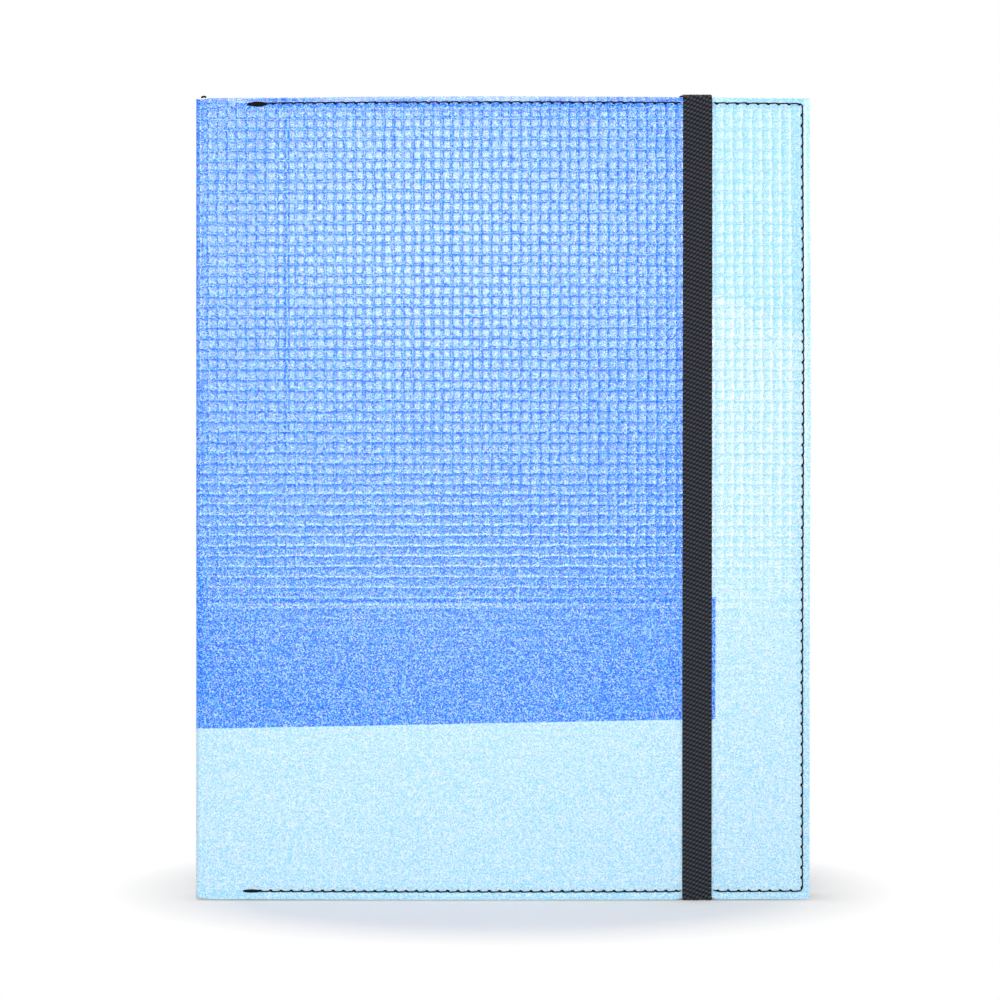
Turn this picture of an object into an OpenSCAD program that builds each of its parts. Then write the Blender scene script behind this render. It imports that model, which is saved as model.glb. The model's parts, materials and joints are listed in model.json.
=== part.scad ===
// Trading card binder: a printed sheet cover with two sewn sleeves, an album of pocket
// leaves whose boards slide into the sleeves, and an elastic band that holds it shut.
// It stands on its tail. X runs from the spine to the fore-edge, the front cover faces -Y,
// and Z runs from the tail to the head.

/* [Cover] */
// Distance that the covers stand past the leaves at the fore-edge
fore_margin = 21.2; // [14:0.1:40]
// Distance that the covers stand past the leaves at the head and at the tail
end_margin = 22.5; // [10:0.5:40]
// Thickness of the printed outer sheet
skin_t = 0.6; // [0.4:0.1:1.2]
// Outer radius of the sheet where it turns from a cover to the spine
fold_r = 2.0; // [1.5:0.1:3.5]

/* [Sleeves] */
// Thickness of the black sleeve fabric
sleeve_t = 0.4; // [0.3:0.1:0.8]
// Distance from the spine to the open edge of each sleeve
sleeve_x = 18; // [14:1:40]
// Width of the sewn hem, where the sleeve lies on the outer sheet
hem_w = 5; // [4.5:0.1:8]

/* [Stitching] */
// Width of the seam thread
thread_w = 0.7; // [0.4:0.1:1.0]
// Depth of the seam thread in the sheet
thread_t = 0.3; // [0.1:0.05:0.35]
// Distance from the head edge to the seam
seam_head = 2.3; // [1.5:0.1:4]
// Distance from the fore-edge to the seam
seam_fore = 3.1; // [1.5:0.1:4]
// Distance from the tail edge to the seam
seam_tail = 3.4; // [2.2:0.1:4]
// Distance from a sleeve's open edge to the tack at the head
head_tack_in = 3; // [0.5:0.1:12]
// Distance from a sleeve's open edge to the tack at the tail
tail_tack_in = 1.3; // [0.5:0.1:12]
// Length of a tack, where the seam is sewn back over itself
tack_l = 8; // [4:0.5:15]
// Width of a tack
tack_w = 1.4; // [1.0:0.1:2.0]
// Length of the thread end at the head of the front fold
stub_l = 2.0; // [1:0.1:4]
// Height of that thread end
stub_h = 0.7; // [0.3:0.1:1.0]

/* [Album] */
// Thickness of the album's front and rear boards
board_t = 2.4; // [1.5:0.1:4]
// Thickness of the album's spine board
spine_board_t = 2.4; // [1.5:0.1:4]
// Width of the flexible joint between the spine edge and each board
joint_w = 8; // [7:0.1:12]
// Thickness of the cloth in that joint
cloth_t = 0.4; // [0.2:0.1:0.8]
// Thickness of the strip that the leaves are bound to
strip_t = 2.5; // [1.5:0.1:4]
// Distance that the strip stops short of the leaves at the head and the tail
strip_inset = 4; // [1:0.5:12]

/* [Leaves] */
// Number of leaves, half of which open with each cover
leaf_count = 20; // [8:2:20]
// Thickness of a leaf's middle sheet
sheet_t = 0.2; // [0.1:0.05:0.3]
// Height of a pocket above the sheet
pocket_rise = 0.4; // [0.2:0.05:0.8]
// Gap between the pockets of neighbouring leaves
pocket_gap = 0.2; // [0.1:0.05:1]
// Width of a pocket
pocket_w = 67; // [50:0.5:85]
// Height of a pocket
pocket_h = 93; // [70:0.5:115]
// Pockets across a leaf
pocket_columns = 3; // [2:1:4]
// Pockets up a leaf
pocket_rows = 3; // [2:1:4]
// Width of the welds between pockets and round them
weld_w = 3; // [2:0.5:6]
// Width of the plain margin between the binding and the first weld
margin_w = 17; // [12:1:25]

/* [Elastic band] */
// Width of the band
band_w = 12; // [6:0.5:25]
// Thickness of the band
band_t = 1.0; // [0.6:0.1:1.6]
// Distance from the fore-edge to the middle of the band
band_fore = 47; // [20:1:120]

/* [Clearances] */
// Gap between the band and what it lies on
band_gap = 0.2; // [0.1:0.05:0.5]
// Gap between a leaf and what it moves past
leaf_gap = 0.3; // [0.2:0.05:0.6]
// Gap between each cover's sheet and the fold
fold_gap = 0.3; // [0.2:0.05:0.6]
// Gap between an album board and the walls of its sleeve
board_gap = 0.3; // [0.1:0.05:1]

/* [Hidden] */
// The circles' fineness
$fn = 48;
// Overlap that lets a cut run clear of a face
past = 1;
// Height that the band stands above the cover
band_rise = band_gap + band_t;
// Thickness of one cover
cover_t = skin_t + board_t + sleeve_t;
// Space that each leaf takes in the closed album, and the thickness of the whole block
leaf_pitch = sheet_t + 2 * pocket_rise + pocket_gap;
block_t = leaf_count * leaf_pitch;
// Depth of the closed covers, front to back
depth = block_t + 2 * (leaf_gap + cover_t);
// The place of the binding strip and of the leaves' bound edges, from the spine
strip_x = skin_t + spine_board_t;
leaf_x = strip_x + strip_t + leaf_gap;
// The size of a leaf
leaf_w = margin_w + pocket_columns * (pocket_w + weld_w) + weld_w;
leaf_h = pocket_rows * (pocket_h + weld_w) + weld_w;
// Width of the closed cover, from the spine to the fore-edge, and its height
cover_w = leaf_x + leaf_w + fore_margin;
cover_h = leaf_h + 2 * end_margin;
// The start of each tack, from the spine
head_tack_x = sleeve_x + head_tack_in;
tail_tack_x = sleeve_x + tail_tack_in;
// The ends of a board, inside the walls of its sleeve
board_end = hem_w + sleeve_t + board_gap;
// The middle of the band, from the spine
band_x = cover_w - band_fore;
// Half of a sheet's thickness
half_sheet = sheet_t / 2;

function two_digits(number) = str(number < 10 ? "0" : "", number);
function leaf_name(number) = str("leaf_", two_digits(number));
LEAVES = [for (number = [1 : leaf_count]) leaf_name(number)];
COVERS = [
    "front_skin", "front_sleeve", "front_seam", "front_head_tack", "front_tail_tack",
    "front_board", "front_joint_cloth",
    "rear_skin", "rear_sleeve", "rear_seam", "rear_head_tack", "rear_tail_tack",
    "rear_board", "rear_joint_cloth"
];
SPINE = ["spine_skin", "spine_board", "binding_strip", "head_thread_end"];
BAND = [
    "band_front_run", "band_head_run", "band_tail_run", "band_head_end", "band_tail_end"
];

// Puts a piece of a cover in place. The piece is drawn with x from the spine edge, y from
// the cover's outer face inwards, and z from the tail; the rear cover is the front's mirror.
module on_cover(front) {
    translate([-cover_w / 2, band_rise / 2, 0])
        mirror([0, front ? 0 : 1, 0])
            translate([0, -depth / 2, 0])
                children();
}

// The three sides of a sleeve's seam: a strip of one width, from one depth to another.
module seam_path(width, low_y, high_y) {
    start_x = head_tack_x + tack_l;
    tail_start_x = tail_tack_x + tack_l;
    end_x = cover_w - seam_fore + width / 2;
    low_z = seam_tail - width / 2;
    high_z = cover_h - seam_head + width / 2;
    thick = high_y - low_y;
    translate([start_x, low_y, high_z - width])
        cube([end_x - start_x, thick, width]);
    translate([end_x - width, low_y, low_z])
        cube([width, thick, high_z - low_z]);
    translate([tail_start_x, low_y, low_z])
        cube([end_x - tail_start_x, thick, width]);
}

// One tack, at the seam's start on the head or the tail side.
module tack_bar(start_x, middle_z, low_y, high_y) {
    translate([start_x, low_y, middle_z - tack_w / 2])
        cube([tack_l, high_y - low_y, tack_w]);
}

module head_tack_bar(low_y, high_y) {
    tack_bar(head_tack_x, cover_h - seam_head, low_y, high_y);
}

module tail_tack_bar(low_y, high_y) {
    tack_bar(tail_tack_x, seam_tail, low_y, high_y);
}

// The place at the tail where the band squeezes the soft edge of a cover.
module tail_notch() {
    translate([band_x - band_w / 2 - band_gap, -past, -past])
        cube([band_w + 2 * band_gap, cover_t + past, past + band_rise]);
}

// The printed sheet of one cover, with its seam and tacks let in flush.
module cover_skin(front) {
    start_x = fold_r + fold_gap;
    color("#A6D2FF") on_cover(front) difference() {
        translate([start_x, 0, 0]) cube([cover_w - start_x, skin_t, cover_h]);
        seam_path(thread_w, -past, thread_t);
        head_tack_bar(-past, thread_t);
        tail_tack_bar(-past, thread_t);
        tail_notch();
    }
}

module cover_seam(front) {
    color("#15161C") on_cover(front) seam_path(thread_w, 0, thread_t);
}

module head_tack(front) {
    color("#15161C") on_cover(front) head_tack_bar(0, thread_t);
}

module tail_tack(front) {
    color("#15161C") on_cover(front) tail_tack_bar(0, thread_t);
}

// The black sleeve: a sewn hem on three sides, and a raised panel that is open to the spine.
module sleeve(front) {
    inner_end = hem_w + sleeve_t;
    color("#1E1F24") on_cover(front) difference() {
        union() {
            translate([sleeve_x, skin_t, 0])
                cube([cover_w - sleeve_x, sleeve_t, cover_h]);
            translate([sleeve_x, skin_t, hem_w])
                cube([cover_w - sleeve_x - hem_w, board_t + sleeve_t, cover_h - 2 * hem_w]);
        }
        translate([sleeve_x - past, skin_t - past, inner_end])
            cube([
                cover_w - sleeve_x - inner_end + past,
                board_t + past,
                cover_h - 2 * inner_end
            ]);
        tail_notch();
    }
}

// An album board, inside its sleeve and bare towards the spine.
module album_board(front) {
    color("#26272C") on_cover(front)
        translate([joint_w, skin_t, board_end])
            cube([cover_w - joint_w - board_end, board_t, cover_h - 2 * board_end]);
}

// The cloth between an album board and the spine.
module joint_cloth(front) {
    start_x = fold_r + fold_gap;
    color("#1B1C20") on_cover(front)
        translate([start_x, skin_t, board_end])
            cube([joint_w - start_x, cloth_t, cover_h - 2 * board_end]);
}

// A quarter of a ring, from the spine's flat to the cover's face.
module fold_quarter() {
    translate([fold_r, fold_r]) difference() {
        intersection() {
            circle(fold_r);
            translate([-fold_r, -fold_r]) square(fold_r);
        }
        circle(fold_r - skin_t);
    }
}

// The printed sheet over the spine, with both folds.
module spine_skin() {
    color("#9CC9FF") on_cover(true) linear_extrude(cover_h) {
        translate([0, fold_r]) square([skin_t, depth - 2 * fold_r]);
        fold_quarter();
        translate([0, depth]) mirror([0, 1]) fold_quarter();
    }
}

module spine_board() {
    color("#26272C") on_cover(true)
        translate([skin_t, cover_t, board_end])
            cube([spine_board_t, depth - 2 * cover_t, cover_h - 2 * board_end]);
}

// The strip that holds every leaf by its edge.
module binding_strip() {
    color("#101114") on_cover(true)
        translate([strip_x, cover_t + leaf_gap, end_margin + strip_inset])
            cube([strip_t, block_t, leaf_h - 2 * strip_inset]);
}

// The end of the sewing thread, on the head edge beside the front fold.
module head_thread_end() {
    color("#15161C") on_cover(true)
        translate([fold_r + fold_gap, 0, cover_h])
            cube([stub_l, skin_t, stub_h]);
}

// The band across the front cover, round both of its edges.
module band_front_run() {
    color("#30333B") on_cover(true)
        translate([band_x - band_w / 2, -band_rise, 0])
            cube([band_w, band_t, cover_h + band_rise]);
}

// The band over the head or the tail, as far as its end in the rear cover.
module band_cross_run(low_z) {
    reach = depth - skin_t - sleeve_t + band_gap;
    color("#30333B") on_cover(true)
        translate([band_x - band_w / 2, -band_gap, low_z])
            cube([band_w, reach, band_t]);
}

// An end of the band, sewn to the inside of the rear cover's hem.
module band_end(low_z, high_z) {
    color("#30333B") on_cover(false)
        translate([band_x - band_w / 2, skin_t + sleeve_t, low_z])
            cube([band_w, band_t, high_z - low_z]);
}

// One leaf: a middle sheet with welded pockets on both of its faces.
module leaf(number) {
    middle_y = cover_t + leaf_gap + (number - 0.5) * leaf_pitch;
    color("#3A3D44") on_cover(true) translate([leaf_x, middle_y, end_margin]) {
        translate([0, -half_sheet, 0]) cube([leaf_w, sheet_t, leaf_h]);
        for (column = [0 : pocket_columns - 1], row = [0 : pocket_rows - 1])
            translate([
                margin_w + weld_w + column * (pocket_w + weld_w),
                -half_sheet - pocket_rise,
                weld_w + row * (pocket_h + weld_w)
            ])
                cube([pocket_w, sheet_t + 2 * pocket_rise, pocket_h]);
    }
}

cover_skin(true);  // front_skin
sleeve(true);  // front_sleeve
cover_seam(true);  // front_seam
head_tack(true);  // front_head_tack
tail_tack(true);  // front_tail_tack
album_board(true);  // front_board
joint_cloth(true);  // front_joint_cloth
cover_skin(false);  // rear_skin
sleeve(false);  // rear_sleeve
cover_seam(false);  // rear_seam
head_tack(false);  // rear_head_tack
tail_tack(false);  // rear_tail_tack
album_board(false);  // rear_board
joint_cloth(false);  // rear_joint_cloth
spine_skin();
spine_board();
binding_strip();
head_thread_end();
band_front_run();
band_cross_run(cover_h + band_gap);  // band_head_run
band_cross_run(0);  // band_tail_run
band_end(cover_h - hem_w, cover_h + band_gap);  // band_head_end
band_end(band_t, hem_w);  // band_tail_end
for (number = [1 : leaf_count])
    leaf(number);
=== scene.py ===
import json
import math
import random

import bmesh
import bpy
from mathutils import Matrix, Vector, noise


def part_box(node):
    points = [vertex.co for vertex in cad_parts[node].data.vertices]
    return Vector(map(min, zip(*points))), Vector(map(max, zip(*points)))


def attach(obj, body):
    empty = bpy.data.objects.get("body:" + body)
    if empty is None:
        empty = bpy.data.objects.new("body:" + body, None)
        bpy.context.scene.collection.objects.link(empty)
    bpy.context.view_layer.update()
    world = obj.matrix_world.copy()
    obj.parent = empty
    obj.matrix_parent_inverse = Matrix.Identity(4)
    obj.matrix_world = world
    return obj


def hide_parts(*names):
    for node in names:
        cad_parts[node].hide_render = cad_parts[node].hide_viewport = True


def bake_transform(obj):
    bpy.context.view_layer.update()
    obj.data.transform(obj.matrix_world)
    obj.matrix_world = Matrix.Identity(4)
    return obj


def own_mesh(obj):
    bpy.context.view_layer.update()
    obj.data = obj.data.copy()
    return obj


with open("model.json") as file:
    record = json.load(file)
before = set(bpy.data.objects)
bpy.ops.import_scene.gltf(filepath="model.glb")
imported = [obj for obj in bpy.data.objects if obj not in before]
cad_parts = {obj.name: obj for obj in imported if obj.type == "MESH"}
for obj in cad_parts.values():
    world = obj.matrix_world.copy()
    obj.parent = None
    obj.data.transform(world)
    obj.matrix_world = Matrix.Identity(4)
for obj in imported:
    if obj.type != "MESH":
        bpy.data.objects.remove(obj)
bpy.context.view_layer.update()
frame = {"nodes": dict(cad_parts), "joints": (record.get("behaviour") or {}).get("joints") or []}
scene = bpy.context.scene
mm = 0.001


# The view. The closed binder stands square to the camera, which looks level at half its
# height through a long lens, so that neither the spine nor the head edge shows.
cover_low, cover_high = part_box("front_skin")
view_width = 418.2 * mm
lens = 150.0
camera_data = bpy.data.cameras.new("view")
camera_data.lens = lens
camera_data.clip_end = 50.0
camera = bpy.data.objects.new("view", camera_data)
scene.collection.objects.link(camera)
camera.location = (
    -1.3 * mm,
    cover_low.y - view_width * lens / camera_data.sensor_width,
    cover_high.z / 2 - 0.5 * mm,
)
camera.rotation_euler = (math.radians(90), 0, 0)
scene.camera = camera


# The printed sheet. One piece of reinforced banner vinyl wraps the rear cover, the spine and
# the front cover. A grid of yarns stands up under its printed skin, in a blue block and a
# pale field, and its hems are pulled in by the seams. It is cut at the spine's middle here.
spine_low, spine_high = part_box("spine_skin")
sheet_t = cover_high.y - cover_low.y
fold_r = spine_high.x - spine_low.x
half_depth = (spine_high.y - spine_low.y) / 2
middle_y = (spine_high.y + spine_low.y) / 2
cover_w = cover_high.x - spine_low.x
cover_h = cover_high.z
fold_start = half_depth - fold_r
fold_end = fold_start + fold_r * math.pi / 2
sheet_end = fold_end + cover_w - fold_r
hem_w = 5.0 * mm
seam_head, seam_fore, seam_tail = 2.3 * mm, 3.1 * mm, 3.4 * mm
seam_start = 20.5 * mm
tuck_low, tuck_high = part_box("band_tail_run")
tuck_x = (tuck_low.x + tuck_high.x) / 2 - spine_low.x
tuck_h = tuck_high.z + 0.08 * mm
FRONT, REAR = -1, 1


def bell(distance, width):
    """A smooth bump: 1 at no distance, falling away over the width."""
    return math.exp(-((distance / width) ** 2))


def step(value, low, high):
    """0 below low, 1 above high, and smooth between them."""
    share = min(max((value - low) / (high - low), 0), 1)
    return share * share * (3 - 2 * share)


def seam_distance(x, z):
    """How far a place on a cover lies from its three-sided seam."""
    right, top = cover_w - seam_fore, cover_h - seam_head
    inside_x = max(seam_start - x, x - right, 0)
    to_head = math.hypot(inside_x, z - top)
    to_tail = math.hypot(inside_x, z - seam_tail)
    to_side = math.hypot(x - right, max(seam_tail - z, z - top, 0))
    return min(to_head, to_tail, to_side)


def sheet_relief(side, x, z):
    """How far the sheet's outer face stands out of its plane."""
    edge = min(cover_w - x, cover_h - z, z)
    slow = noise.noise(Vector((x * 14, z * 14, 3.0 * side)))
    fast = noise.noise(Vector((x * 70, z * 70, 9.0 * side)))
    high = 0.16 * mm * slow + 0.03 * mm * fast
    high -= 0.20 * mm * (1 - step(edge, 2 * mm, 7 * mm)) * step(x, 10 * mm, 24 * mm)
    pucker = 0.75 + 0.25 * math.sin((x + z) / (4.35 * mm) * math.tau)
    high -= 0.20 * mm * pucker * bell(seam_distance(x, z), 1.1 * mm)
    high += 0.12 * mm * fast * (1 - step(edge, 0, 3 * mm))
    if side == FRONT:
        crease = step(z, 150 * mm, 235 * mm) * (1 - step(z, 322 * mm, 333 * mm))
        high += 0.16 * mm * crease * bell(x - 39.3 * mm, 1.0 * mm)
        high -= 0.12 * mm * crease * bell(x - 36.2 * mm, 2.4 * mm)
        high -= 0.22 * mm * bell(math.hypot(x - 108 * mm, z - 267 * mm), 2.2 * mm)
        high -= 0.07 * mm * bell(z - 124.5 * mm, 0.7 * mm)
        high -= 0.05 * mm * bell(z - 217.5 * mm, 0.7 * mm) * (1 - step(x, 60 * mm, 90 * mm))
    return high


def sheet_point(side, along, z, inward):
    """A place on the wrapped sheet: along it from the spine's middle, and up the cover."""
    x = max(fold_r + along - fold_end, 0)
    share = x / cover_w
    crown = 0.27 * mm - 0.84 * mm * (2 * share - 1) ** 2
    crown -= 0.5 * mm * bell(along - fold_end, 2.0 * mm)
    tucked = 1 - step(abs(x - tuck_x), 6.3 * mm, 8.8 * mm)
    raised = (0.25 + 0.35 * (2 * share - 1) ** 2) * mm
    raised += 0.8 * mm * bell(along - fold_end, 2.0 * mm)
    raised += (tuck_h - raised) * tucked
    from_head = cover_h - z
    z += raised * (1 - step(z, 0, (0.3 - 0.25 * tucked) * cover_h))
    z += crown * (1 - step(from_head, 0, 0.4 * cover_h))
    if along < fold_start:
        return Vector((spine_low.x + inward, middle_y + side * along, z))
    if along < fold_end:
        turn = (along - fold_start) / fold_r
        radius = fold_r - inward
        x = spine_low.x + fold_r - radius * math.cos(turn)
        y = half_depth - fold_r + radius * math.sin(turn)
        return Vector((x, middle_y + side * y, z))
    bow = 0.55 * mm * bell(z - 222 * mm, 75 * mm) - 0.3 * mm
    x += bow * step(share, 0.5, 1.0)
    out = half_depth - inward + sheet_relief(side, x, z)
    return Vector((spine_low.x + x, middle_y + side * out, z))


def spread(low, high, gap):
    """Even steps from low to high, no wider than the gap."""
    count = max(1, math.ceil((high - low) / gap - 1e-6))
    return [low + (high - low) * n / count for n in range(count + 1)]


def joined_steps(*stretches):
    """Stretches of steps end to end, each given as its low end, high end and gap."""
    steps = []
    for low, high, gap in stretches:
        steps += spread(low, high, gap)[1 if steps else 0:]
    return steps


def new_piece(name, points, faces, places=None, sharp_angle=40):
    """A mesh object with smooth faces and sharp rims, which stores each point's own place."""
    mesh = bpy.data.meshes.new(name)
    mesh.from_pydata(points, [], faces)
    if places is not None:
        stored = mesh.attributes.new("place", "FLOAT_VECTOR", "POINT")
        stored.data.foreach_set("vector", [value for place in places for value in place])
    shaped = bmesh.new()
    shaped.from_mesh(mesh)
    bmesh.ops.recalc_face_normals(shaped, faces=shaped.faces)
    for edge in shaped.edges:
        bent = len(edge.link_faces) == 2 and edge.calc_face_angle() > math.radians(sharp_angle)
        edge.smooth = not bent
    for face in shaped.faces:
        face.smooth = True
    shaped.to_mesh(mesh)
    shaped.free()
    piece = bpy.data.objects.new(name, mesh)
    scene.collection.objects.link(piece)
    return piece


def sheet_faces(wide, tall):
    """The faces of a closed sheet: two layers of wide by tall points, and the rim."""
    faces = []
    back = wide * tall
    for i in range(wide - 1):
        for j in range(tall - 1):
            a = i * tall + j
            faces.append((a, a + tall, a + tall + 1, a + 1))
            faces.append((back + a, back + a + 1, back + a + tall + 1, back + a + tall))
    rim = [(i * tall, (i + 1) * tall) for i in range(wide - 1)]
    rim += [((wide - 1) * tall + j, (wide - 1) * tall + j + 1) for j in range(tall - 1)]
    rim += [((i + 1) * tall + tall - 1, i * tall + tall - 1) for i in range(wide - 1)]
    rim += [(j + 1, j) for j in range(tall - 1)]
    return faces + [(a, back + a, back + b, b) for a, b in rim]


def closed_sheet(name, across, up, outer, inner, sharp_angle=40):
    """A thin closed sheet over a grid: outer and inner give a point of each of its faces."""
    points, places = [], []
    for layer, point in enumerate((outer, inner)):
        for a in across:
            for b in up:
                points.append(point(a, b))
                places.append((a / mm, b / mm, layer))
    return new_piece(name, points, sheet_faces(len(across), len(up)), places, sharp_angle)


class Shade:
    """One output of a shader node. Arithmetic on it adds the Math nodes that work it out."""

    def __init__(self, tree, socket=None):
        self.tree = tree
        self.socket = socket

    def node(self, kind, settings=None, inputs=None, output=0):
        """Adds a node. Its settings are set first, then its sockets get values or links."""
        made = self.tree.nodes.new("ShaderNode" + kind)
        for name, value in (settings or {}).items():
            if name == "stops":
                ramp = made.color_ramp
                while len(ramp.elements) < len(value):
                    ramp.elements.new(1.0)
                for element, (place, colour) in zip(ramp.elements, value):
                    element.position = place
                    element.color = (*colour, 1)
            else:
                setattr(made, name, value)
        for name, value in (inputs or {}).items():
            if isinstance(value, Shade):
                self.tree.links.new(value.socket, made.inputs[name])
            else:
                made.inputs[name].default_value = value
        return Shade(self.tree, made.outputs[output])

    def math(self, operation, *others, clamp=False):
        values = dict(enumerate((self, *others)))
        return self.node("Math", {"operation": operation, "use_clamp": clamp}, values)

    def __add__(self, other):
        return self.math("ADD", other)

    def __sub__(self, other):
        return self.math("SUBTRACT", other)

    def __mul__(self, other):
        return self.math("MULTIPLY", other)

    def __truediv__(self, other):
        return self.math("DIVIDE", other)

    def __rsub__(self, other):
        return self.node("Math", {"operation": "SUBTRACT"}, {0: other, 1: self})

    __radd__ = __add__
    __rmul__ = __mul__

    def clamped(self):
        return self.math("ADD", 0.0, clamp=True)

    def bell(self, width):
        """A smooth bump of this width round 0."""
        share = self / width
        return (share * share * -1.0).math("EXPONENT")

    def wave(self, pitch):
        """From -1 to 1 and back over each pitch."""
        return (self * (math.tau / pitch)).math("SINE")

    def to_line(self, pitch):
        """The signed distance to the nearest line of a row with this pitch."""
        return self - (self / pitch).math("ROUND") * pitch

    def mixed(self, low, high):
        """The colour low where this is 0, and the colour high where it is 1."""
        inputs = {0: self, 6: low, 7: high}
        settings = {"data_type": "RGBA", "clamp_factor": True}
        return self.node("Mix", settings, inputs, output=2)

    def noise(self, scale, detail=2.0, output=0):
        """Soft noise over this place, with so many patches to a millimetre."""
        inputs = {"Vector": self, "Scale": scale, "Detail": detail}
        return self.node("TexNoise", None, inputs, output)

    def cells(self, scale):
        """Small random cells over this place: a value that is the same across each cell."""
        inputs = {"Vector": self, "Scale": scale}
        colour = self.node("TexVoronoi", None, inputs, output=1)
        return colour.node("SeparateColor", None, {0: colour})


def ink(red, green, blue, alpha=1.0):
    """A colour given by its display values out of 255."""
    values = [value / 255 for value in (red, green, blue)]
    linear = [v / 12.92 if v <= 0.04045 else ((v + 0.055) / 1.055) ** 2.4 for v in values]
    return (*linear, alpha)


class Finish:
    """A material in the making: its node tree, and the place that the piece stored."""

    def __init__(self, name):
        self.material = bpy.data.materials.new(name)
        self.material.use_nodes = True
        self.tree = self.material.node_tree
        self.shader = self.tree.nodes["Principled BSDF"]
        self.start = Shade(self.tree)
        self.place = self.start.node("Attribute", {"attribute_name": "place"}, output=1)
        self.across = self.part(0)
        self.up = self.part(1)
        self.layer = self.part(2)

    def part(self, number):
        return self.start.node("SeparateXYZ", None, {0: self.place}, output=number)

    def set(self, **values):
        """Sets or links the shader's sockets, named with _ for each space."""
        for name, value in values.items():
            socket = self.shader.inputs[name.replace("_", " ")]
            if isinstance(value, Shade):
                self.tree.links.new(value.socket, socket)
            else:
                socket.default_value = value

    def bump(self, height, depth):
        """Raises the surface by the height, of 0 to 1, times the depth in millimetres."""
        inputs = {"Height": height, "Distance": depth * mm, "Strength": 1.0}
        self.set(Normal=self.start.node("Bump", None, inputs))


def printed_finish():
    made = Finish("printed_sheet")
    across, up = made.across, made.up
    drift = made.place.noise(0.05, 1.0)
    wobble_x = (made.place.noise(0.11, 1.0) - 0.5) * 1.6
    wobble_z = (made.place.noise(0.13, 1.0) - 0.5) * 1.4
    from_yarn_x = (across + wobble_x).to_line(4.06)
    from_yarn_z = (up + wobble_z).to_line(4.36)
    yarn_x = from_yarn_x.bell(0.55)
    yarn_z = from_yarn_z.bell(0.50)
    on_cover = across - 14.84
    line_z = on_cover * math.tan(math.radians(1.1)) + 71.7
    above = ((up - line_z) / 0.35 + 0.5).clamped()
    line_x = 217.5 - ((up - 126.9) / 0.3).clamped() * 4.5
    inside = ((line_x - on_cover) / 0.35 + 0.5).clamped()
    blue_part = above * inside
    dots = made.place.cells(2.5)
    grain = dots * 0.9 + made.place.noise(1.6, 1.0) * 0.1
    # How strongly the yarn grid shows: its painted flank highlight and shade, and its relief,
    # fade low on the cover and near the spine, away from the sheen lamp's highlight, and mostly
    # fade out in the hem.
    grid_and_sheen_strength = ((up - 112.0) / 80.0).clamped() * 0.88 + 0.12
    grid_and_sheen_strength = grid_and_sheen_strength * (((on_cover.math("ABSOLUTE") + 20.0) / 50.0).clamped() * 0.4 + 0.6)
    past_seam = (on_cover - 253.9).math("MAXIMUM", up - 333.7).math("MAXIMUM", 3.4 - up)
    hem = (past_seam / 0.6 + 0.5).clamped()
    grid_and_sheen_strength = grid_and_sheen_strength * (1.0 - hem * 0.8)
    # Painted highlight on the yarns' upper and left flanks and painted shade below them and on
    # their right, as light from the upper left would fall on them.
    lit = (from_yarn_z - 0.15).bell(0.48) * 0.31 + (from_yarn_x + 0.3).bell(0.6) * 0.17
    shaded_flank = (from_yarn_z + 1.0).bell(0.5) * (1.0 - yarn_x) * 0.42
    shaded_flank = shaded_flank + (from_yarn_x - 1.0).bell(0.5) * (1.0 - yarn_z) * 0.18
    shift = (lit - shaded_flank) * (drift * 0.7 + 0.75) * grid_and_sheen_strength - hem * 0.22
    # Painted shade: high up, the sheet on the spine's side of the crease is darkened as if turned
    # away from the light.
    crease = ((39.3 - on_cover) / 1.5 + 0.5).clamped() * ((up - 165.0) / 60.0).clamped()
    tone = ((grain - 0.5) * 1.8 + shift + 0.44 - crease * 0.05).clamped()
    blue_stops = [
        (0.00, ink(0, 92, 250)[:3]),
        (0.25, ink(2, 120, 255)[:3]),
        (0.45, ink(20, 146, 255)[:3]),
        (0.65, ink(52, 166, 255)[:3]),
        (0.82, ink(98, 184, 255)[:3]),
        (1.00, ink(172, 212, 255)[:3]),
    ]
    pale_stops = [
        (0.00, ink(146, 216, 248)[:3]),
        (0.30, ink(188, 231, 249)[:3]),
        (0.65, ink(206, 235, 249)[:3]),
        (1.00, ink(226, 242, 250)[:3]),
    ]
    blue = tone.node("ValToRGB", {"stops": blue_stops}, {0: tone})
    tone_line = (across - 14.84 - 219.0) * -0.43 + 253.0
    shade = ((up - tone_line) / 1.2 + 0.5).clamped() * 0.32
    faded = (tone - shade).clamped()
    pale = faded.node("ValToRGB", {"stops": pale_stops}, {0: faded})
    printed = blue_part.mixed(pale, blue)
    stray = (made.place.cells(1.55) - 0.93) * 9.0
    printed = (stray.clamped() * 0.55).mixed(printed, ink(188, 168, 250))
    reverse = ink(226, 228, 230)
    weave = (across.wave(0.9) * up.wave(0.9) * 0.5 + 0.5) * 0.4 + 0.6
    backing = weave.mixed(ink(205, 208, 212), reverse)
    made.set(Base_Color=made.layer.mixed(printed, backing))
    made.set(Roughness=0.24 + dots * 0.06)
    relief = (yarn_x + yarn_z * 1.1) * 0.8 + made.place.noise(0.7, 1.0) * 0.2
    made.bump(relief * grid_and_sheen_strength + made.place.noise(2.2, 0.0) * 0.12, 0.13)
    made.set(Specular_IOR_Level=0.5)
    return made.material


printed_sheet = printed_finish()


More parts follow.
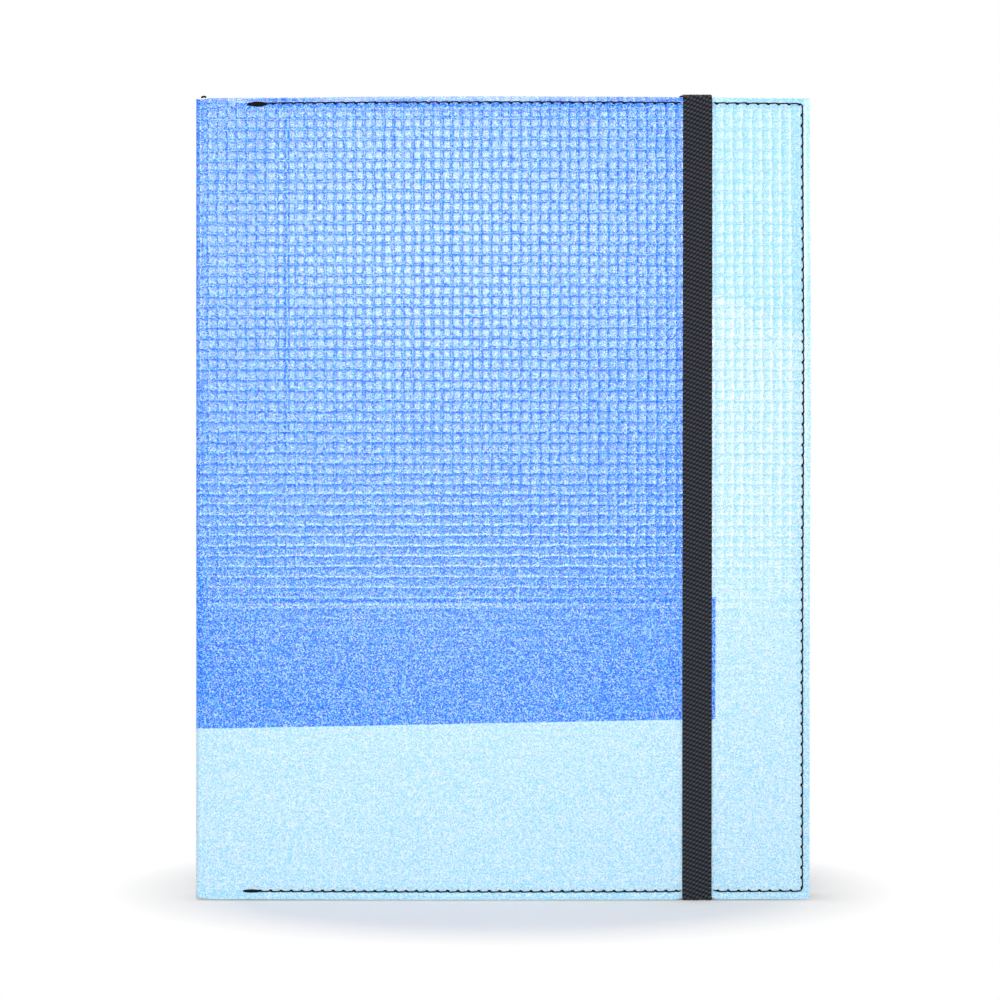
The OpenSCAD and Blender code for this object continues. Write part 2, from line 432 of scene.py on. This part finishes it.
def wrap_sheet(name, side):
    stretches = [
        (0, fold_start, 2.5 * mm),
        (fold_start, fold_end, 0.3 * mm),
        (fold_end, fold_end + 30 * mm, 2.0 * mm),
        (fold_end + 30 * mm, fold_end + 44 * mm, 0.5 * mm),
        (fold_end + 44 * mm, sheet_end - 8 * mm, 2.2 * mm),
        (sheet_end - 8 * mm, sheet_end, 0.5 * mm),
    ]
    along = joined_steps(*stretches)
    up = joined_steps(
        (0, 8 * mm, 0.5 * mm),
        (8 * mm, 122 * mm, 2.2 * mm),
        (122 * mm, 127 * mm, 0.5 * mm),
        (127 * mm, cover_h - 8 * mm, 2.2 * mm),
        (cover_h - 8 * mm, cover_h, 0.5 * mm),
    )
    piece = closed_sheet(
        name,
        along,
        up,
        lambda a, b: sheet_point(side, a, b, 0),
        lambda a, b: sheet_point(side, a, b, sheet_t),
    )
    if side == REAR:
        stored = piece.data.attributes["place"]
        for item in stored.data:
            item.vector.x *= -1
    piece.data.materials.append(printed_sheet)
    return piece


for side, word in ((FRONT, "front"), (REAR, "rear")):
    wrap = wrap_sheet(word + "_printed_sheet", side)
    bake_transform(wrap)
    if side == FRONT:
        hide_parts("front_skin", "spine_skin")
    else:
        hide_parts("rear_skin")


# The seams. Each cover's sleeve is lock-stitched to the sheet along the head, the fore-edge
# and the tail in black thread. Every stitch lies a little askew, proud of the sheet, and
# dives at both ends into a needle hole.
stitch_l = 4.35 * mm
thread_r = 0.34 * mm


def tube(points, radii, sides=8):
    """A closed tube through the points, as its own points and faces."""
    made, faces = [], []
    for n, (point, radius) in enumerate(zip(points, radii)):
        ahead = points[min(n + 1, len(points) - 1)] - points[max(n - 1, 0)]
        one = ahead.cross(Vector((0, 1, 0))).normalized()
        two = ahead.normalized().cross(one)
        for k in range(sides):
            turn = math.tau * k / sides
            made.append(point + radius * (math.cos(turn) * one + math.sin(turn) * two))
    for n in range(len(points) - 1):
        for k in range(sides):
            a, b = n * sides + k, n * sides + (k + 1) % sides
            faces.append((a, b, b + sides, a + sides))
    faces.append(tuple(range(sides - 1, -1, -1)))
    last = (len(points) - 1) * sides
    faces.append(tuple(last + k for k in range(sides)))
    return made, faces


def tubes_piece(name, routes):
    """One piece made of many tubes, each a pair of points and radii."""
    points, faces, places = [], [], []
    for route, radii in routes:
        made, sides = tube(route, radii)
        faces += [tuple(k + len(points) for k in face) for face in sides]
        points += made
        reach = 0
        ring = len(made) // len(route)
        for n in range(len(route)):
            reach += (route[n] - route[max(n - 1, 0)]).length
            places += [(reach / mm, k / ring, 0) for k in range(ring)]
    return new_piece(name, points, faces, places, sharp_angle=60)


def on_cover(side, x, z, lift):
    """A place on a cover's outer face, lifted out of it."""
    return sheet_point(side, x - fold_r + fold_end, z, -lift)


def inside_cover(side, x, z, lift):
    """A place on the sewn hem's inner face, lifted out of it."""
    return sheet_point(side, x - fold_r + fold_end, z, sheet_t + 0.4 * mm + lift)


def holes_along(start, end):
    """Needle holes one stitch apart on a straight run of the seam."""
    count = round(math.dist(start, end) / stitch_l)
    return [
        (start[0] + (end[0] - start[0]) * n / count, start[1] + (end[1] - start[1]) * n / count)
        for n in range(count + 1)
    ]


def needle_holes():
    """All the holes: along the head, the fore-edge and the tail, with two cut corners."""
    right, top = cover_w - seam_fore, cover_h - seam_head
    cut = 0.9 * mm
    head = holes_along((seam_start + 8 * mm, top), (right - cut, top))
    side = holes_along((right, top - cut), (right, seam_tail + cut))
    tail = holes_along((right - cut, seam_tail), (seam_start + 6 * mm, seam_tail))
    return head + side + tail


def stitch(place, side, start, end, hook):
    """One stitch between two holes: thin, then a thick hook where the needle went in."""
    ahead = Vector((end[0] - start[0], end[1] - start[1]))
    beside = Vector((ahead.y, -ahead.x)).normalized()
    short = min(ahead.length / stitch_l, 1.0)
    points, radii = [], []
    for share in (-0.02, 0.08, 0.25, 0.42, 0.58, 0.70, 0.80, 0.89, 0.97, 1.03):
        bend = bell(share - 0.93, 0.13)
        off = hook * short * (bend - 0.35 * bell(share - 0.6, 0.3))
        x = start[0] + ahead.x * share + beside.x * off
        z = start[1] + ahead.y * share + beside.y * off
        pressed = 0.5 * mm * (1 - step(abs(x - tuck_x), 6.6 * mm, 7.6 * mm))
        points.append(place(side, x, z, thread_r * (0.35 + 0.15 * bend) - pressed))
        radii.append(thread_r * (0.82 + 0.68 * short * bell(share - 0.88, 0.14)))
    return points, radii


def thread_finish():
    made = Finish("seam_thread")
    ply = (made.across * 2.4 + made.up * 1.0) * math.tau
    twist = ply.math("SINE") * 0.5 + 0.5
    made.set(Base_Color=twist.mixed(ink(2, 2, 5), ink(22, 23, 29)))
    made.set(Roughness=0.6, Specular_IOR_Level=0.15)
    made.bump(twist, 0.08)
    return made.material


seam_thread = thread_finish()
holes = needle_holes()
for side, word in ((FRONT, "front"), (REAR, "rear")):
    draw = random.Random(5 + side)
    outside = [
        stitch(on_cover, side, a, b, (0.34 + 0.16 * draw.random()) * mm)
        for a, b in zip(holes, holes[1:])
    ]
    seam = tubes_piece(word + "_seam_thread", outside)
    seam.data.materials.append(seam_thread)
    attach(seam, word + "_cover")
    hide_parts(word + "_seam")
    inside = [
        stitch(inside_cover, side, a, b, -0.12 * mm) for a, b in zip(holes, holes[1:])
    ]
    bobbin = tubes_piece(word + "_bobbin_thread", inside)
    bobbin.data.materials.append(seam_thread)
    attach(bobbin, word + "_cover")


# The tacks. At both ends of a seam the machine sews back over itself, which builds up a short
# dark bar of overlapping stitches: a thick lens at the head, and a thinner one at the tail.
def tack_routes(side, start, end, middle_z, fullness, seed):
    draw = random.Random(seed)
    routes = []
    rows = (-1.5, -0.75, 0, 0.75, 1.5)
    for row in rows:
        points, radii = [], []
        for n in range(13):
            share = n / 12
            lens_share = math.sin(math.pi * share) ** 0.6
            x = start + (end - start) * share
            z = middle_z + row * fullness * lens_share + 0.05 * mm * draw.uniform(-1, 1)
            lift = 0.22 * mm * lens_share * (1.4 - abs(row) * 0.4) - 0.1 * mm
            points.append(on_cover(side, x, z, lift))
            radii.append(thread_r * (0.75 + 0.35 * lens_share))
        routes.append((points, radii))
    for n in range(9):
        x = start + (end - start) * (n + 1) / 10.5
        lens_share = math.sin(math.pi * (n + 1) / 10.5) ** 0.6
        reach = fullness * 1.6 * lens_share
        points = [
            on_cover(
                side,
                x + 0.55 * mm * share,
                middle_z + reach * share,
                (0.55 * lens_share + 0.05) * mm * (1 - 0.5 * abs(share)),
            )
            for share in (-1, -0.5, 0, 0.5, 1)
        ]
        routes.append((points, [thread_r * 0.8] * 5))
    return routes


for side, word in ((FRONT, "front"), (REAR, "rear")):
    bars = (
        ("head", 21.5 * mm, 30.0 * mm, cover_h - seam_head - 0.35 * mm, 0.46 * mm),
        ("tail", 19.8 * mm, 27.2 * mm, seam_tail + 0.1 * mm, 0.22 * mm),
    )
    for end_word, start, end, middle_z, fullness in bars:
        routes = tack_routes(side, start, end, middle_z, fullness, len(end_word) + 7 * side)
        tack = tubes_piece(f"{word}_{end_word}_tack_thread", routes)
        tack.data.materials.append(seam_thread)
        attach(tack, word + "_cover")
        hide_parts(f"{word}_{end_word}_tack")

# The thread end. A short end of the sewing thread stands up on the head edge, beside the
# front fold, curled over where it was snipped.
stub_low, stub_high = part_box("head_thread_end")
curl = []
for n in range(9):
    share = n / 8
    curl.append(
        Vector((
            stub_low.x + (stub_high.x - stub_low.x) * share,
            (stub_low.y + stub_high.y) / 2 + 0.2 * mm * math.sin(5 * share),
            cover_h - 0.5 * mm + 0.75 * mm * math.sin(math.pi * (0.12 + 0.72 * share)),
        ))
    )
thread_end = tubes_piece("head_thread_curl", [(curl, [0.42 * mm] * 9)])
thread_end.data.materials.append(seam_thread)
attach(thread_end, "front_cover")
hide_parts("head_thread_end")


# The sleeves. A black polyester panel is sewn into each cover on three sides. It drops over
# the board's edges onto the hem, and its open edge, towards the spine, is folded and stitched.
sleeve_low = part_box("front_sleeve")[0]
board_low, board_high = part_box("front_board")
sleeve_x = sleeve_low.x - spine_low.x
sleeve_t = 0.4 * mm
board_t = board_high.y - board_low.y
mouth_fold_w = 7.0 * mm


def sleeve_depth(x, z):
    """How far into the binder the sleeve's outer side lies, from the cover's outer face."""
    edge = min(cover_w - x, cover_h - z, z)
    over_board = step(edge, hem_w - 0.6 * mm, hem_w + 0.4 * mm)
    sag = 0.10 * mm * noise.noise(Vector((x * 35, z * 35, 21))) * over_board
    return sheet_t + board_t * over_board + min(sag, 0)


def sleeve_point(side, x, z, raised):
    """A place on the sleeve's panel, raised from its outer side."""
    fold = 0.14 * mm * (1 - step(x - sleeve_x, mouth_fold_w, mouth_fold_w + 0.6 * mm))
    extra = fold if raised > 0 else 0
    flat = sheet_point(side, x - fold_r + fold_end, z, sleeve_depth(x, z) + raised + extra)
    return flat + Vector((0, side * -sheet_relief(side, x, z) * step(flat.z, 8 * mm, 12 * mm), 0))


def woven_finish(name, low, high, pitch, depth):
    """A plain weave: yarns over and under, darker in the gaps, with a little lint."""
    made = Finish(name)
    over = made.across.wave(pitch) * made.up.wave(pitch) * 0.5 + 0.5
    lint = made.place.noise(0.35, 3.0)
    shade = (over * 0.6 + lint * 0.4).clamped()
    made.set(Base_Color=shade.mixed(low, high))
    made.set(Roughness=0.72 + lint * 0.15, Specular_IOR_Level=0.35)
    made.set(Sheen_Weight=0.15, Sheen_Roughness=0.4)
    made.bump(over, depth)
    return made.material


sleeve_fabric = woven_finish("sleeve_fabric", ink(14, 14, 17), ink(40, 41, 47), 0.9, 0.12)
for side, word in ((FRONT, "front"), (REAR, "rear")):
    across = joined_steps(
        (sleeve_x, sleeve_x + 9 * mm, 0.8 * mm),
        (sleeve_x + 9 * mm, cover_w - 7 * mm, 3.5 * mm),
        (cover_w - 7 * mm, cover_w, 0.35 * mm),
    )
    up = joined_steps(
        (0, 7 * mm, 0.35 * mm),
        (7 * mm, cover_h - 7 * mm, 3.5 * mm),
        (cover_h - 7 * mm, cover_h, 0.35 * mm),
    )
    panel = closed_sheet(
        word + "_sleeve_panel",
        across,
        up,
        lambda a, b: sleeve_point(side, a, b, 0),
        lambda a, b: sleeve_point(side, a, b, sleeve_t),
    )
    panel.data.materials.append(sleeve_fabric)
    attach(panel, word + "_cover")
    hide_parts(word + "_sleeve")

    def on_sleeve(which, x, z, lift):
        return sleeve_point(which, x, z, sleeve_t + lift)

    count = round((cover_h - 4 * hem_w) / (3.2 * mm))
    rise = (cover_h - 4 * hem_w) / count
    mouth = [(sleeve_x + mouth_fold_w - 1.2 * mm, 2 * hem_w + rise * n) for n in range(count + 1)]
    routes = [stitch(on_sleeve, side, a, b, 0.06 * mm) for a, b in zip(mouth, mouth[1:])]
    mouth_seam = tubes_piece(word + "_sleeve_mouth_thread", routes)
    mouth_seam.data.materials.append(seam_thread)
    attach(mouth_seam, word + "_cover")


# The album's boards. Stiff greyboard wrapped in black grained leatherette: one board in each
# sleeve, bare towards the spine, and one down the spine. The corners are softened.
def grained_finish(name, low, high, grain, depth):
    made = Finish(name)
    place = made.start.node("TexCoord", None, None, output=3)
    inputs = {"Vector": place, "Scale": grain}
    ridges = place.node("TexVoronoi", {"feature": "DISTANCE_TO_EDGE"}, inputs, output=0)
    pebble = (ridges * 4.0).clamped()
    cloud = place.node("TexNoise", None, {"Vector": place, "Scale": 60.0, "Detail": 3.0})
    made.set(Base_Color=(pebble * 0.5 + cloud * 0.5).mixed(low, high))
    made.set(Roughness=0.42 + cloud * 0.2, Specular_IOR_Level=0.45)
    made.bump(pebble, depth)
    return made.material


def finish_node(node, material, edge_r, segments=3):
    """Gives a CAD piece its finish, and softens its edges."""
    piece = frame["nodes"][node]
    piece.data.materials.clear()
    piece.data.materials.append(material)
    soft = piece.modifiers.new("soft_edges", "BEVEL")
    soft.width = edge_r
    soft.segments = segments
    soft.limit_method = "ANGLE"


album_board = grained_finish("album_board", ink(20, 20, 23), ink(46, 47, 52), 900.0, 0.12)
for node in ("front_board", "rear_board", "spine_board"):
    finish_node(node, album_board, 0.5 * mm)


# The joints. A strip of black book cloth runs inside each fold of the sheet, from the spine
# board to the cover's board.
joint_cloth = woven_finish("joint_cloth", ink(12, 12, 15), ink(34, 34, 39), 0.6, 0.08)
cloth_low, cloth_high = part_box("front_joint_cloth")
for side, word in ((FRONT, "front"), (REAR, "rear")):
    cloth_end = fold_end + board_low.x - spine_low.x - fold_r
    across = joined_steps(
        (fold_start - 3.5 * mm, fold_start, 0.7 * mm),
        (fold_start, fold_end, 0.35 * mm),
        (fold_end, cloth_end, 0.8 * mm),
    )
    up = spread(cloth_low.z, cloth_high.z, 4 * mm)

    def cloth_point(along, z, inward):
        held = sheet_point(side, along, cover_h / 2, inward)
        eased = min(sheet_relief(side, along, z), 0) if along >= fold_end else 0
        return Vector((held.x, held.y + side * eased, z))

    cloth = closed_sheet(
        word + "_joint_strip",
        across,
        up,
        lambda a, b: cloth_point(a, b, sheet_t + 0.02 * mm),
        lambda a, b: cloth_point(a, b, sheet_t + 0.4 * mm),
    )
    cloth.data.materials.append(joint_cloth)
    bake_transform(cloth)
    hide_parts(word + "_joint_cloth")


# The binding strip. A black plastic strip down the spine board, to which every leaf's margin
# is welded. Its face is finely ribbed.
def ribbed_finish():
    made = Finish("binding_strip")
    place = made.start.node("TexCoord", None, None, output=3)
    height = made.start.node("SeparateXYZ", None, {0: place}, output=2)
    rib = (height / mm).wave(1.6) * 0.5 + 0.5
    cloud = place.node("TexNoise", None, {"Vector": place, "Scale": 90.0, "Detail": 3.0})
    made.set(Base_Color=(rib * 0.6 + cloud * 0.4).mixed(ink(12, 12, 14), ink(32, 33, 36)))
    made.set(Roughness=0.38 + cloud * 0.2)
    made.bump(rib, 0.15)
    return made.material


finish_node("binding_strip", ribbed_finish(), 0.4 * mm)


# The leaves. Each is a black middle sheet with clear film welded to both of its faces, in
# three rows of three pockets. A pocket stands a little proud, is welded on three sides, and
# opens towards the spine, where its film is cut with a thumb notch.
leaf_names = sorted(name for name in frame["nodes"] if name.startswith("leaf_"))
leaf_low, leaf_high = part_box(leaf_names[0])
leaf_w, leaf_h = leaf_high.x - leaf_low.x, leaf_high.z - leaf_low.z
core_t = 0.2 * mm
film_t = 0.06 * mm
pocket_rise = (leaf_high.y - leaf_low.y - core_t) / 2
margin_w = 17.0 * mm
weld_w = 3.0 * mm
pocket_w = (leaf_w - margin_w - weld_w) / 3 - weld_w
pocket_h = (leaf_h - weld_w) / 3 - weld_w
leaf_corner = 3.0 * mm


def rounded_reach(x, z):
    """Pulls a leaf's two fore-edge corners in to a round."""
    off = max(leaf_corner - z, z - (leaf_h - leaf_corner), 0)
    cut = leaf_corner - math.sqrt(max(leaf_corner**2 - off**2, 0))
    return min(x, leaf_w - cut)


def film_height(x, z):
    """How far the film stands off the sheet: flat on the welds, domed over the pockets."""
    column = (x - margin_w - weld_w) / (pocket_w + weld_w)
    row = (z - weld_w) / (pocket_h + weld_w)
    in_x = (column - math.floor(column)) * (pocket_w + weld_w)
    in_z = (row - math.floor(row)) * (pocket_h + weld_w)
    if column < 0 or in_x > pocket_w or in_z > pocket_h or row < 0:
        return 0.0
    near = min(pocket_w - in_x, in_z, pocket_h - in_z)
    mouth = 0.72 + 0.28 * step(in_x, 0, 3 * mm)
    return (pocket_rise - film_t) * step(near, 0, 2.2 * mm) * mouth


def leaf_steps():
    """Grid lines over a leaf: close together at each pocket's edges."""
    across = [0.0, margin_w * 0.5, margin_w]
    for n in range(3):
        start = margin_w + weld_w + n * (pocket_w + weld_w)
        inner = [0, 0.4, 1.2, 3.0, 16, 33, 50]
        across += [start - 0.02 * mm] + [start + k * mm for k in inner]
        across += [start + pocket_w - k * mm for k in (8, 2.2, 1.1, 0.4, 0)]
    across += [leaf_w - 2.0 * mm, leaf_w - 1.0 * mm, leaf_w - 0.4 * mm, leaf_w]
    up = [0.0, 0.4 * mm, 1.0 * mm, 2.0 * mm]
    for n in range(3):
        start = weld_w + n * (pocket_h + weld_w)
        up += [start + k * mm for k in (0, 0.5, 1.2, 2.2, 12, 30, 46.5)]
        up += [start + pocket_h - k * mm for k in (30, 12, 2.2, 1.2, 0.5, 0)]
    up += [leaf_h - k * mm for k in (2.0, 1.0, 0.4, 0)]
    return across, up


def core_finish():
    made = Finish("leaf_core")
    cloud = made.place.noise(0.08, 3.0)
    grain = made.place.cells(3.0)
    made.set(Base_Color=(cloud * 0.7 + grain * 0.3).mixed(ink(16, 16, 19), ink(36, 37, 42)))
    made.set(Roughness=0.5 + cloud * 0.15)
    made.bump(grain, 0.02)
    return made.material


def film_finish():
    """Clear film: hazy at the welds, where it is pressed with a fine row of ticks."""
    made = Finish("pocket_film")
    width, height = (pocket_w + weld_w) / mm, (pocket_h + weld_w) / mm
    from_x = (made.across - (margin_w + weld_w / 2) / mm).to_line(width).math("ABSOLUTE")
    from_z = (made.up - weld_w / 2 / mm).to_line(height).math("ABSOLUTE")
    near = from_x.math("MINIMUM", from_z)
    weld = 1.0 - ((near - 0.9) / 0.4).clamped()
    ticks = ((made.across + made.up).wave(1.1) * 2.0 + 0.5).clamped()
    pressed = weld * (ticks * 0.6 + 0.4)
    ripple = made.place.noise(0.04, 2.0)
    made.set(Base_Color=pressed.mixed(ink(206, 212, 218), ink(150, 154, 160)))
    made.set(Alpha=0.16 + pressed * 0.42, Roughness=0.10 + pressed * 0.35)
    made.set(Specular_IOR_Level=0.8)
    made.bump(ripple + pressed * 0.2, 0.9)
    return made.material


leaf_core, pocket_film = core_finish(), film_finish()
leaf_across, leaf_up = leaf_steps()


def core_point(x, z, y):
    return Vector((rounded_reach(x, z), y, z))


def film_point(x, z, out, thick):
    """A place on a film: out is the face it lies on, and thick its own thickness there."""
    reach = core_t / 2 + film_height(x, z) + thick
    return Vector((rounded_reach(x, z), out * reach, z))


core_mesh = closed_sheet(
    "leaf_core",
    leaf_across,
    leaf_up,
    lambda a, b: core_point(a, b, -core_t / 2),
    lambda a, b: core_point(a, b, core_t / 2),
)
film_across = [x for x in leaf_across if x >= margin_w]
film_meshes = [
    closed_sheet(
        "leaf_film",
        film_across,
        leaf_up,
        lambda a, b: film_point(a, b, out, film_t),
        lambda a, b: film_point(a, b, out, 0.005 * mm),
        sharp_angle=70,
    )
    for out in (FRONT, REAR)
]
core_mesh.data.materials.append(leaf_core)
for film in film_meshes:
    film.data.materials.append(pocket_film)


def copy_at(source, name, place):
    """Another piece of the same mesh, in its own place."""
    piece = bpy.data.objects.new(name, source.data)
    scene.collection.objects.link(piece)
    piece.location = place
    return piece


for name in leaf_names:
    low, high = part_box(name)
    place = Vector((low.x, (low.y + high.y) / 2, low.z))
    core = copy_at(core_mesh, name + "_core", place)
    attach(core, name)
    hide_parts(name)
    for film, word in zip(film_meshes, ("front", "rear")):
        sheet = copy_at(film, f"{name}_{word}_film", place)
        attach(sheet, name)
for source in (core_mesh, *film_meshes):
    bpy.data.objects.remove(source)


# The elastic band. A flat black braid, with plump stitches that stand in staggered columns
# and scallop both of its edges. It crosses the front cover, turns over the head and the tail,
# and its two ends are caught in the rear cover's hem.
band_low, band_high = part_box("band_front_run")
band_w = band_high.x - band_low.x
band_t = band_high.y - band_low.y
band_x = (band_low.x + band_high.x) / 2 - 0.35 * mm
braid_columns = 9
braid_pitch = 1.87 * mm
band_turn_r = 1.1 * mm


def braid_relief(x, along):
    """The braid's height, from -1 in its pits to 1 on its plump stitches."""
    column = math.cos(math.pi * braid_columns * x / band_w)
    row = math.cos(math.tau * (along - 0.35 * x) / braid_pitch)
    value = column * row
    return math.copysign(abs(value) ** 0.8, value)


def band_steps():
    half = band_w / 2
    return spread(-half, half, band_w / (braid_columns * 4))


def braid_piece(name, along, route):
    """A stretch of the band. The route gives the middle line's place and outward direction."""
    across = band_steps()
    half = band_w / 2
    points, places = [], []
    for layer in (1, -1):
        for x in across:
            edge = abs(x) / half
            for reach in along:
                middle, outward = route(reach)
                relief = braid_relief(x, reach + (0.5 * braid_pitch if layer < 0 else 0))
                rim = 1 - 0.55 * step(edge, 0.86, 1.0)
                scallop = 0.36 * mm * step(edge, 0.8, 1.0)
                scallop *= math.cos(math.tau * reach / braid_pitch + (0.9 if x > 0 else 2.6))
                high = (band_t * 0.31 + 0.18 * mm * relief) * rim
                shift = Vector((x + math.copysign(scallop, x) - 0.1 * mm * (x / half), 0, 0))
                points.append(middle + shift + layer * high * outward)
                places.append((x / mm, reach / mm, relief * 0.5 + 0.5))
    piece = new_piece(name, points, sheet_faces(len(across), len(along)), places, 75)
    piece.data.materials.append(band_elastic)
    return piece


def braid_finish():
    made = Finish("band_elastic")
    stitch_height_shade = made.layer
    fibre = (made.across * 1.3 + made.up * 2.2).wave(0.42) * 0.5 + 0.5
    lint = made.place.noise(0.9, 3.0)
    # Painted shade and light: the tone follows the braid's height, near black in its pits and
    # lighter on its plump stitches.
    tone = (stitch_height_shade * 0.95 + fibre * 0.1 + lint * 0.2 - 0.14).clamped()
    stops = [
        (0.0, ink(4, 4, 8)[:3]),
        (0.3, ink(20, 21, 27)[:3]),
        (0.65, ink(56, 59, 67)[:3]),
        (1.0, ink(88, 92, 101)[:3]),
    ]
    made.set(Base_Color=tone.node("ValToRGB", {"stops": stops}, {0: tone}))
    made.set(Roughness=0.62 + lint * 0.2, Specular_IOR_Level=0.2)
    made.set(Sheen_Weight=0.08, Sheen_Roughness=0.45)
    made.bump(fibre, 0.06)
    return made.material


band_elastic = braid_finish()
front_y = band_low.y + band_t / 2
head_z = band_high.z - band_t / 2
tail_z = band_low.z + band_t / 2
straight = head_z - tail_z - 2 * band_turn_r
quarter = band_turn_r * math.pi / 2


def front_route(reach):
    """Up the front cover, with a quarter turn at the tail and at the head."""
    y = front_y + band_turn_r
    if reach < 0:
        turn = -reach / band_turn_r
        outward = Vector((0, -math.cos(turn), -math.sin(turn)))
        return Vector((band_x, y, tail_z + band_turn_r)) + band_turn_r * outward, outward
    if reach > straight:
        turn = (reach - straight) / band_turn_r
        outward = Vector((0, -math.cos(turn), math.sin(turn)))
        return Vector((band_x, y, head_z - band_turn_r)) + band_turn_r * outward, outward
    lean = 0.35 * mm * (reach / straight - 0.5)
    return Vector((band_x + lean, front_y, tail_z + band_turn_r + reach)), Vector((0, -1, 0))


front_run = braid_piece(
    "band_front_braid",
    spread(-quarter, straight + quarter, braid_pitch / 6),
    front_route,
)
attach(front_run, "band")
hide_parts("band_front_run")

end_low, end_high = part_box("band_head_end")
cross_start = front_y + band_turn_r
cross_end = end_high.y - 0.2 * mm
slide = next(j for j in frame["joints"] if j["name"] == "band_release")["range_m"][1]
released_low, released_high = end_low.y, cross_start + slide
keep = (released_high - released_low) / (cross_end - cross_start)
anchor_y = (released_low - slide - keep * cross_start) / (1 - keep)
for word, level, up_or_down in (("head", head_z, 1), ("tail", tail_z, -1)):

    def cross_route(reach):
        """Level over an edge, from the front turn to the rear hem, a little askew."""
        askew = 0.0
        if word == "head":
            askew = -1.0 * mm * step(reach, 0, 5 * mm)
        place = Vector((band_x + askew, cross_start + reach, level))
        return place, Vector((0, 0, up_or_down))

    cross = braid_piece(
        f"band_{word}_braid",
        spread(0, cross_end - cross_start, braid_pitch / 6),
        cross_route,
    )
    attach(cross, "band")
    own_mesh(cross)
    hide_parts(f"band_{word}_run")

    low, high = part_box(f"band_{word}_end")

    def end_route(reach):
        """Down the inner side of the rear cover's hem."""
        y = (low.y + high.y) / 2
        return Vector((band_x, y, low.z + reach)), Vector((0, -1, 0))

    caught = braid_piece(
        f"band_{word}_end_braid", spread(0, high.z - low.z, braid_pitch / 6), end_route
    )
    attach(caught, "rear_cover")
    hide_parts(f"band_{word}_end")


# The studio. A white floor and background, a soft key from the upper left, a small softbox
# close to the lens that lays a soft sheen on the vinyl, and a weak fill.
floor_mesh = bpy.data.meshes.new("floor")
floor_half = 6.0
corners = [(-floor_half, -floor_half, 0), (floor_half, -floor_half, 0)]
corners += [(floor_half, floor_half, 0), (-floor_half, floor_half, 0)]
floor_mesh.from_pydata(corners, [], [(0, 1, 2, 3)])
floor = bpy.data.objects.new("floor", floor_mesh)
scene.collection.objects.link(floor)


def seen_directly(start):
    """1 for what the camera sees, also by reflection or through clear film, else 0."""
    seen = start.node("LightPath")
    glossy = start.node("LightPath", output=3)
    through = start.node("LightPath", output=6)
    return (seen + glossy + through).clamped()


def floor_finish():
    """Lit paper near the binder, which fades to plain white further out where it is seen."""
    material = bpy.data.materials.new("floor")
    material.use_nodes = True
    tree = material.node_tree
    start = Shade(tree)
    paper = tree.nodes["Principled BSDF"]
    paper.inputs["Base Color"].default_value = (0.9, 0.9, 0.9, 1)
    paper.inputs["Roughness"].default_value = 0.9
    paper.inputs["Specular IOR Level"].default_value = 0.0
    place = start.node("NewGeometry")
    across = start.node("SeparateXYZ", None, {0: place}) / 0.165
    depth = (start.node("SeparateXYZ", None, {0: place}, output=1) - 0.05) / 0.24
    reach = (across * across + depth * depth).math("SQRT")
    far = ((reach - 0.72) / 0.30).clamped()
    white = start.node("Emission")
    whitened = seen_directly(start) * (far * 0.75 + 0.25)
    inputs = {0: whitened, 1: Shade(tree, paper.outputs[0]), 2: white}
    mixed = start.node("MixShader", None, inputs)
    tree.links.new(mixed.socket, tree.nodes["Material Output"].inputs[0])
    return material


floor_mesh.materials.append(floor_finish())

world = bpy.data.worlds.new("studio")
scene.world = world
world.use_nodes = True
start = Shade(world.node_tree)
background = world.node_tree.nodes["Background"]
background.inputs["Color"].default_value = (1, 1, 1, 1)
diffuse_level = 0.42
strength = seen_directly(start) * (1.0 - diffuse_level) + diffuse_level
world.node_tree.links.new(strength.socket, background.inputs["Strength"])


def lamp(name, place, aim, size, power):
    """A square softbox that faces its aim."""
    data = bpy.data.lights.new(name, "AREA")
    data.size = size
    data.energy = power
    made = bpy.data.objects.new(name, data)
    scene.collection.objects.link(made)
    made.location = place
    made.rotation_euler = (Vector(aim) - Vector(place)).to_track_quat("-Z", "Y").to_euler()
    return made


lamp("key", (-0.9, -1.3, 1.25), (0, 0, 0.17), 0.7, 2.5)
lamp("sheen", (-0.055, -1.30, 0.363), (-0.03, 0, 0.26), 0.22, 7.2)
lamp("fill", (1.3, -1.1, 0.5), (0, 0, 0.17), 0.9, 2.0)
lamp("top", (0.0, 0.3, 1.6), (0, 0, 0), 1.2, 6.0)

scene.view_settings.view_transform = "Standard"
